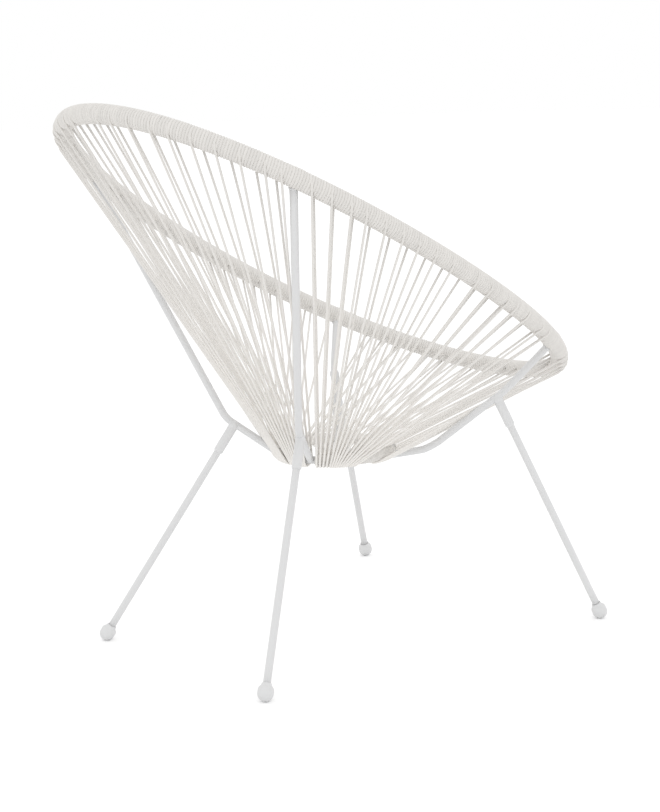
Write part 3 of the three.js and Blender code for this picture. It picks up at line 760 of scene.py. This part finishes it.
def rounded_profile(corners, radius):
    """A closed profile with each corner cut by a small quadratic bend of three points."""
    corners = np.array(corners, float)
    before, after = np.roll(corners, 1, axis=0), np.roll(corners, -1, axis=0)
    start = corners + unit(before - corners) * radius
    end = corners + unit(after - corners) * radius
    middle = 0.25 * start + 0.5 * corners + 0.25 * end
    return np.stack([start, middle, end], axis=1).reshape(-1, 2)


def weld_fillet(joint, axis):
    """The ground weld where a socket meets its arm: an ellipsoid a little wider than the socket,
    turned round the leg's axis from half a circle of angles."""
    angle = np.linspace(FILLET_POLE, math.pi - FILLET_POLE, FILLET_STEPS)
    ways = FILLET_WAY - FILLET_LENGTH * np.cos(angle)
    return turned(np.stack([FILLET_RADIUS * np.sin(angle), ways], axis=1), joint, axis, FILLET_SIDES)


def add_leg(end, side, sign):
    """A leg's socket, tube and foot cap, all turned round the leg's own axis."""
    joint, axis = joint_point(end, sign), leg_way(end, sign)
    bulb_way = (joint[2] - (CAP_BULB - CAP_FLAT)) / -axis[2]
    leg_end = bulb_way + CAP_BULB - CAP_LENGTH + CAP_BORE
    bore = LEG_RADIUS + TUBE_GAP
    outline = rounded_profile([
        (bore, SOCKET_START), (SOCKET_RADIUS, SOCKET_START),
        (SOCKET_RADIUS, SOCKET_LENGTH - SOCKET_TAPER), (LEG_RADIUS, SOCKET_LENGTH),
    ], SOCKET_ROUND)
    socket = turned(outline, joint, axis, LEG_SIDES)
    points, faces, _ = joined([socket, weld_fillet(joint, axis)])
    piece(f"socket_{end}_{side}", points, faces, FRAME_FINISH, [f"leg_socket_{end}_{side}"])
    hollow = LEG_RADIUS - LEG_WALL
    ways = np.linspace(LEG_START, leg_end, LEG_STEPS)
    tube = [(LEG_RADIUS, way) for way in ways] + [(hollow, way) for way in ways[::-1]]
    points, faces, _ = turned(tube, joint, axis, LEG_SIDES)
    piece(f"leg_tube_{end}_{side}", points, faces, FRAME_FINISH, [f"leg_{end}_{side}"])
    add_cap(end, side, joint, axis, bulb_way)


def cap_bend(widths, heights):
    """One bend of a cap's outline: a quadratic curve from its three corners."""
    corners = np.array([*zip(widths, heights)], float)
    return smooth_path(corners[:, None], CAP_BEND_STEPS)[0]


def add_cap(end, side, joint, axis, bulb_way):
    """A foot cap: a half round below the bulb's middle, a straight waist, a sloping shoulder
    drawn in to a thin lip, and a bore for the leg. It is cut flat where it stands."""
    low = np.linspace(0, math.pi / 2, CAP_STEPS)
    outline = np.stack([np.maximum(CAP_BULB * np.sin(low), CAP_AXIS), CAP_BULB * np.cos(low)], axis=1)
    top = CAP_BULB - CAP_LENGTH
    bore, bore_end = LEG_RADIUS + TUBE_GAP, top + CAP_BORE + TUBE_GAP
    shoulder = cap_bend((CAP_BULB, CAP_BULB, CAP_BULB - CAP_SHOULDER_IN),
                        [share * top for share in CAP_SHOULDER_SHARES])
    neck = cap_bend((CAP_BULB - CAP_NECK_IN, CAP_NECK, CAP_NECK),
                    [*(share * top for share in CAP_NECK_SHARES), top + CAP_LIP_HEIGHT])
    lip = [(CAP_NECK - CAP_LIP_IN, top), (bore, top)]
    inside = [(bore, bore_end), (CAP_AXIS, bore_end)]
    profile = np.array([*outline, *shoulder, *neck, *lip, *inside])
    points, faces, _ = turned(profile, joint + axis * bulb_way, axis, CAP_SIDES)
    points[:, 2] = np.maximum(points[:, 2], 0.0)
    piece(f"cap_{end}_{side}", points, faces, CAP_FINISH, [f"foot_cap_{end}_{side}"])


def add_seat_bar():
    """The seat ring's smooth bar: a circle swept round the ring, from outwards to upwards."""
    angle = np.arange(BAR_STEPS) / BAR_STEPS * FULL_TURN
    around = (np.arange(BAR_SIDES) / BAR_SIDES * FULL_TURN)[None, :, None]
    reach = unit(seat_at(angle) - SEAT_CENTRE)
    circle = np.cos(around) * reach[:, None] + np.sin(around) * UP
    rings = seat_at(angle)[:, None] + SEAT_BAR_RADIUS * circle
    points = rings.reshape(-1, 3)
    faces = facing_out(points, grid_faces(BAR_STEPS, BAR_SIDES, True))
    piece("seat_bar", points, faces, FRAME_FINISH, ["seat_ring"])


for side_name, side_sign in SIDES.items():
    add_lacing(side_name, side_sign)
    for end_name in ENDS:
        add_arm(end_name, side_name, side_sign)
        add_leg(end_name, side_name, side_sign)
add_seat_winding()
add_seat_bar()

# The hoop inside the winding, and the steel pieces inside the sockets, keep their CAD solids
for node_name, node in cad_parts.items():
    if not node.hide_render:
        inner = node_name.startswith(("socket_stud", "leg_insert"))
        node.data.materials.clear()
        node.data.materials.append(STEEL_FINISH if inner else FRAME_FINISH)


# Floor, light and camera

# The camera stands behind the chair, on the sitter's right, a little above the seat
CAMERA_AZIMUTH, CAMERA_ELEVATION, CAMERA_ROLL = 229.559, 10.1228, -1.7705
CAMERA_TARGET, CAMERA_DISTANCE = (0.0, -10.54, 374.56), 2846.86
CAMERA_LENS, CAMERA_SENSOR, CAMERA_SHIFT = 76.16, 36.0, (-0.0024, 0.00015)
CAMERA_NEAREST, CAMERA_FARTHEST = 0.05, 100.0
# Light, and sizes of the room in metres
WORLD_LIGHT = 1.045
KEY_PLACE, KEY_TARGET, KEY_SIZE, KEY_POWER = (-2.6, 2.6, 3.0), (0, 0, 0.4), 3.0, 4
FLOOR_COLOUR, FLOOR_GLOW, FLOOR_HALF_SIDE = (0.94, 0.94, 0.94), 0.14, 60.0


def floor_material():
    """A matt white floor. What looks at it straight or by reflection also sees a faint glow that
    lifts it to white, so that only the chair's shadow stays."""
    material, nodes, links = new_material("white_floor")
    shader = nodes["Principled BSDF"]
    shader.inputs["Base Color"].default_value = (*FLOOR_COLOUR, 1)
    shader.inputs["Roughness"].default_value = 0.9
    shader.inputs["Specular IOR Level"].default_value = 0.0
    glow = nodes.new("ShaderNodeEmission")
    glow.inputs["Strength"].default_value = FLOOR_GLOW
    both = nodes.new("ShaderNodeAddShader")
    choice = nodes.new("ShaderNodeMixShader")
    links.new(shader.outputs["BSDF"], both.inputs[0])
    links.new(glow.outputs["Emission"], both.inputs[1])
    links.new(background_rays(nodes, links), choice.inputs["Fac"])
    links.new(shader.outputs["BSDF"], choice.inputs[1])
    links.new(both.outputs["Shader"], choice.inputs[2])
    links.new(choice.outputs["Shader"], nodes["Material Output"].inputs["Surface"])
    return material


def background_rays(nodes, links):
    """One for rays from the camera and for glossy and transmission rays, else zero."""
    path = nodes.new("ShaderNodeLightPath")
    glossy = added(
        nodes, links, path.outputs["Is Glossy Ray"], path.outputs["Is Transmission Ray"], "MAXIMUM")
    return added(nodes, links, path.outputs["Is Camera Ray"], glossy, "MAXIMUM")


def add_floor():
    """A flat white floor, far wider than the view."""
    side = FLOOR_HALF_SIDE
    corners = [(-side, -side, 0), (side, -side, 0), (side, side, 0), (-side, side, 0)]
    mesh = bpy.data.meshes.new("floor")
    mesh.from_pydata(corners, [], [(0, 1, 2, 3)])
    floor = bpy.data.objects.new("floor", mesh)
    bpy.context.scene.collection.objects.link(floor)
    mesh.materials.append(floor_material())


def add_lamp(name, location, target, size, power):
    """A large soft square lamp."""
    data = bpy.data.lights.new(name, "AREA")
    data.shape, data.size, data.energy = "SQUARE", size, power
    lamp = bpy.data.objects.new(name, data)
    lamp.location = location
    lamp.rotation_mode = "QUATERNION"
    lamp.rotation_quaternion = (Vector(target) - Vector(location)).to_track_quat("-Z", "Y")
    bpy.context.scene.collection.objects.link(lamp)


def set_world():
    """An even pale world: soft light on the chair, plain white where the camera looks past it."""
    world = bpy.data.worlds.new("studio")
    bpy.context.scene.world = world
    world.use_nodes = True
    nodes, links = world.node_tree.nodes, world.node_tree.links
    ground = nodes["Background"]
    ground.inputs["Color"].default_value = (1, 1, 1, 1)
    ground.inputs["Strength"].default_value = WORLD_LIGHT
    seen = nodes.new("ShaderNodeBackground")
    seen.inputs["Color"].default_value = (1, 1, 1, 1)
    seen.inputs["Strength"].default_value = 1.0
    choice = nodes.new("ShaderNodeMixShader")
    links.new(background_rays(nodes, links), choice.inputs["Fac"])
    links.new(ground.outputs["Background"], choice.inputs[1])
    links.new(seen.outputs["Background"], choice.inputs[2])
    links.new(choice.outputs["Shader"], nodes["World Output"].inputs["Surface"])


def set_camera():
    """Looks at the target along the azimuth and elevation, then rolls about its own axis."""
    azimuth, elevation = math.radians(CAMERA_AZIMUTH), math.radians(CAMERA_ELEVATION)
    back = Vector((math.sin(azimuth) * math.cos(elevation), -math.cos(azimuth) * math.cos(elevation),
                   math.sin(elevation)))
    right = Vector((0, 0, 1)).cross(back).normalized()
    over = back.cross(right)
    roll = math.radians(CAMERA_ROLL)
    across = right * math.cos(roll) + over * math.sin(roll)
    lift = over * math.cos(roll) - right * math.sin(roll)
    data = bpy.data.cameras.new("camera")
    data.sensor_fit, data.sensor_width, data.lens = "AUTO", CAMERA_SENSOR, CAMERA_LENS
    data.shift_x, data.shift_y = CAMERA_SHIFT
    data.clip_start, data.clip_end = CAMERA_NEAREST, CAMERA_FARTHEST
    camera = bpy.data.objects.new("camera", data)
    turn = Matrix((across, lift, back)).transposed().to_4x4()
    camera.matrix_world = Matrix.Translation((Vector(CAMERA_TARGET) + back * CAMERA_DISTANCE) * MM) @ turn
    bpy.context.scene.collection.objects.link(camera)
    bpy.context.scene.camera = camera


set_camera()
set_world()
add_floor()
add_lamp("key", KEY_PLACE, KEY_TARGET, KEY_SIZE, KEY_POWER)
bpy.context.scene.view_settings.view_transform = "Standard"
